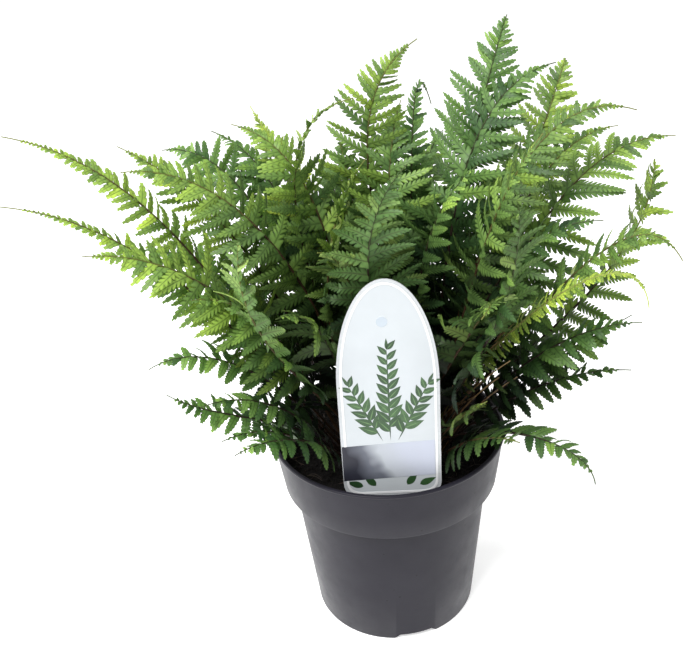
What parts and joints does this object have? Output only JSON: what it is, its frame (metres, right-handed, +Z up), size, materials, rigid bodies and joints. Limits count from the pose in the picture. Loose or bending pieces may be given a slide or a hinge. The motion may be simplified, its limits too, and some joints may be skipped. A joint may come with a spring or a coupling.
{
  "type": "potted polystichum fern",
  "caption": "Bushy shield fern with arching divided fronds in a round black nursery pot, with a plain plant label standing in the soil.",
  "frame": {"origin": "centre of the flat underside of the pot, on the surface that the pot stands on", "axes": "+Z up along the pot's axis, -Y towards the side where the plant label stands, +X to the right seen from that side"},
  "size_m": [0.2934, 0.2009, 0.3002],
  "materials": {
    "pot_plastic": "satin anthracite thermoformed plastic with a fine haze and a thin rolled edge",
    "potting_soil": "moist dark peat with fine fibre and crumbs",
    "crown_scales": "brown papery scales and old stalk bases",
    "label_plastic": null,
    "green_frond": "leathery satin mid to dark green, paler beneath, with a dark rib",
    "bright_frond": "soft satin yellow-green of young fronds, with a paler rib"
  },
  "bodies": {
    "root": {"pot": "pot_plastic", "soil": "potting_soil", "crown": "crown_scales", "label": "label_plastic", "frond_01": "bright_frond", "frond_02": "bright_frond", "frond_03": "bright_frond", "frond_04": "bright_frond", "frond_05": "bright_frond", "frond_06": "bright_frond", "frond_07": "green_frond", "frond_08": "bright_frond", "frond_09": "green_frond", "frond_10": "bright_frond", "frond_11": "green_frond", "frond_12": "green_frond", "frond_13": "green_frond", "frond_14": "bright_frond", "frond_15": "green_frond", "frond_16": "green_frond", "frond_17": "bright_frond", "frond_18": "green_frond", "frond_19": "bright_frond", "frond_20": "green_frond", "frond_21": "bright_frond", "frond_22": "green_frond", "frond_23": "green_frond", "frond_24": "green_frond", "frond_25": "green_frond", "frond_26": "green_frond", "frond_27": "green_frond", "frond_28": "green_frond", "frond_29": "bright_frond", "frond_30": "green_frond", "frond_31": "green_frond", "frond_32": "green_frond", "frond_33": "green_frond", "frond_34": "green_frond", "frond_35": "green_frond", "frond_36": "green_frond", "frond_37": "green_frond", "frond_38": "green_frond", "frond_39": "green_frond", "frond_40": "green_frond", "frond_41": "green_frond", "frond_42": "green_frond", "frond_43": "green_frond", "frond_44": "green_frond", "frond_45": "green_frond", "frond_46": "green_frond", "frond_47": "green_frond", "frond_48": "green_frond", "frond_49": "green_frond", "frond_50": "green_frond", "frond_51": "green_frond", "frond_52": "green_frond", "frond_53": "green_frond", "frond_54": "green_frond", "frond_55": "green_frond", "frond_56": "green_frond"}
  },
  "joints": []
}
